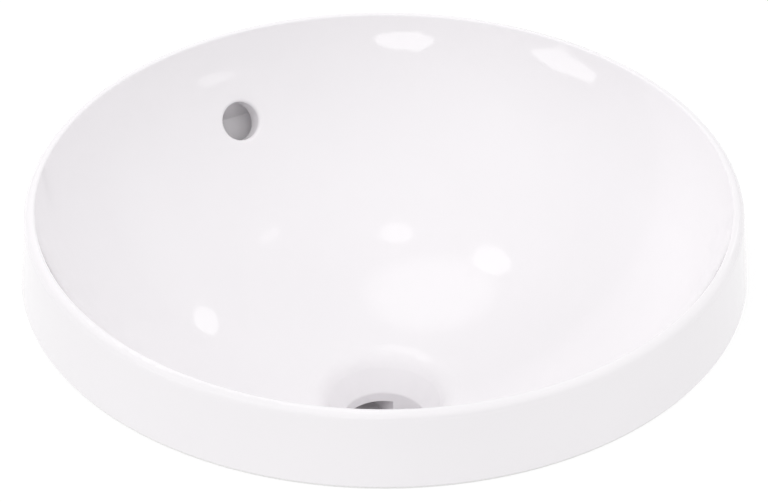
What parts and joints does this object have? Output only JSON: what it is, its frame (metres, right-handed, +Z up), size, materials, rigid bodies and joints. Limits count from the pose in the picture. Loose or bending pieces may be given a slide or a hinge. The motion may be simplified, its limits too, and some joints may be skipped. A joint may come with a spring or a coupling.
{
  "type": "inset washbasin",
  "caption": "Round white ceramic inset washbasin with a raised rim band, overflow hole and plain outlet, held in a worktop cut-out by under-rim claw clamps.",
  "frame": {"origin": "centre of the worktop surface that the rim stands on, in the plane of the rim seal's underside", "axes": "+Z up along the basin's axis, +Y from the axis towards the overflow hole, +X to the right"},
  "size_m": [0.3998, 0.3998, 0.1923],
  "materials": {
    "glazed_ceramic": "white glaze, smooth and glossy",
    "seal_strip": "white closed-cell foam strip",
    "nylon": "natural moulded nylon",
    "zinc_plated_steel": "bright zinc plate, slightly uneven",
    "black_rubber": "moulded matt rubber"
  },
  "bodies": {
    "basin": {"basin_body": "glazed_ceramic", "rim_seal": "seal_strip", "clamp_1_plug": "nylon", "clamp_1_stud": "zinc_plated_steel", "clamp_2_plug": "nylon", "clamp_2_stud": "zinc_plated_steel", "clamp_3_plug": "nylon", "clamp_3_stud": "zinc_plated_steel", "clamp_4_plug": "nylon", "clamp_4_stud": "zinc_plated_steel"},
    "clamp_1_carrier": {"clamp_1_washer": "zinc_plated_steel"},
    "clamp_1_claw": {"clamp_1_claw": "zinc_plated_steel", "clamp_1_claw_pad": "black_rubber"},
    "clamp_1_nut": {"clamp_1_wing_nut": "zinc_plated_steel"},
    "clamp_2_carrier": {"clamp_2_washer": "zinc_plated_steel"},
    "clamp_2_claw": {"clamp_2_claw": "zinc_plated_steel", "clamp_2_claw_pad": "black_rubber"},
    "clamp_2_nut": {"clamp_2_wing_nut": "zinc_plated_steel"},
    "clamp_3_carrier": {"clamp_3_washer": "zinc_plated_steel"},
    "clamp_3_claw": {"clamp_3_claw": "zinc_plated_steel", "clamp_3_claw_pad": "black_rubber"},
    "clamp_3_nut": {"clamp_3_wing_nut": "zinc_plated_steel"},
    "clamp_4_carrier": {"clamp_4_washer": "zinc_plated_steel"},
    "clamp_4_claw": {"clamp_4_claw": "zinc_plated_steel", "clamp_4_claw_pad": "black_rubber"},
    "clamp_4_nut": {"clamp_4_wing_nut": "zinc_plated_steel"}
  },
  "joints": [
    {"name": "clamp_1_slacken", "type": "slide", "parent": "basin", "child": "clamp_1_carrier", "axis": [0, 0, -1], "range_m": [0, 0.03]},
    {"name": "clamp_1_swing", "type": "hinge", "parent": "clamp_1_carrier", "child": "clamp_1_claw", "pos_m": [0.12516, 0.12516, -0.047], "axis": [0, 0, 1], "range_deg": [-90, 90]},
    {"name": "clamp_1_turn", "type": "hinge", "parent": "clamp_1_carrier", "child": "clamp_1_nut", "pos_m": [0.12516, 0.12516, -0.047], "axis": [0, 0, -1], "range_deg": [0, 10800]},
    {"name": "clamp_2_slacken", "type": "slide", "parent": "basin", "child": "clamp_2_carrier", "axis": [0, 0, -1], "range_m": [0, 0.03]},
    {"name": "clamp_2_swing", "type": "hinge", "parent": "clamp_2_carrier", "child": "clamp_2_claw", "pos_m": [-0.12516, 0.12516, -0.047], "axis": [0, 0, 1], "range_deg": [-90, 90]},
    {"name": "clamp_2_turn", "type": "hinge", "parent": "clamp_2_carrier", "child": "clamp_2_nut", "pos_m": [-0.12516, 0.12516, -0.047], "axis": [0, 0, -1], "range_deg": [0, 10800]},
    {"name": "clamp_3_slacken", "type": "slide", "parent": "basin", "child": "clamp_3_carrier", "axis": [0, 0, -1], "range_m": [0, 0.03]},
    {"name": "clamp_3_swing", "type": "hinge", "parent": "clamp_3_carrier", "child": "clamp_3_claw", "pos_m": [-0.12516, -0.12516, -0.047], "axis": [0, 0, 1], "range_deg": [-90, 90]},
    {"name": "clamp_3_turn", "type": "hinge", "parent": "clamp_3_carrier", "child": "clamp_3_nut", "pos_m": [-0.12516, -0.12516, -0.047], "axis": [0, 0, -1], "range_deg": [0, 10800]},
    {"name": "clamp_4_slacken", "type": "slide", "parent": "basin", "child": "clamp_4_carrier", "axis": [0, 0, -1], "range_m": [0, 0.03]},
    {"name": "clamp_4_swing", "type": "hinge", "parent": "clamp_4_carrier", "child": "clamp_4_claw", "pos_m": [0.12516, -0.12516, -0.047], "axis": [0, 0, 1], "range_deg": [-90, 90]},
    {"name": "clamp_4_turn", "type": "hinge", "parent": "clamp_4_carrier", "child": "clamp_4_nut", "pos_m": [0.12516, -0.12516, -0.047], "axis": [0, 0, -1], "range_deg": [0, 10800]}
  ],
  "couplings": [
    {"joint": "clamp_1_turn", "follows": "clamp_1_slacken", "rad_per_m": 6283.2},
    {"joint": "clamp_2_turn", "follows": "clamp_2_slacken", "rad_per_m": 6283.2},
    {"joint": "clamp_3_turn", "follows": "clamp_3_slacken", "rad_per_m": 6283.2},
    {"joint": "clamp_4_turn", "follows": "clamp_4_slacken", "rad_per_m": 6283.2}
  ]
}
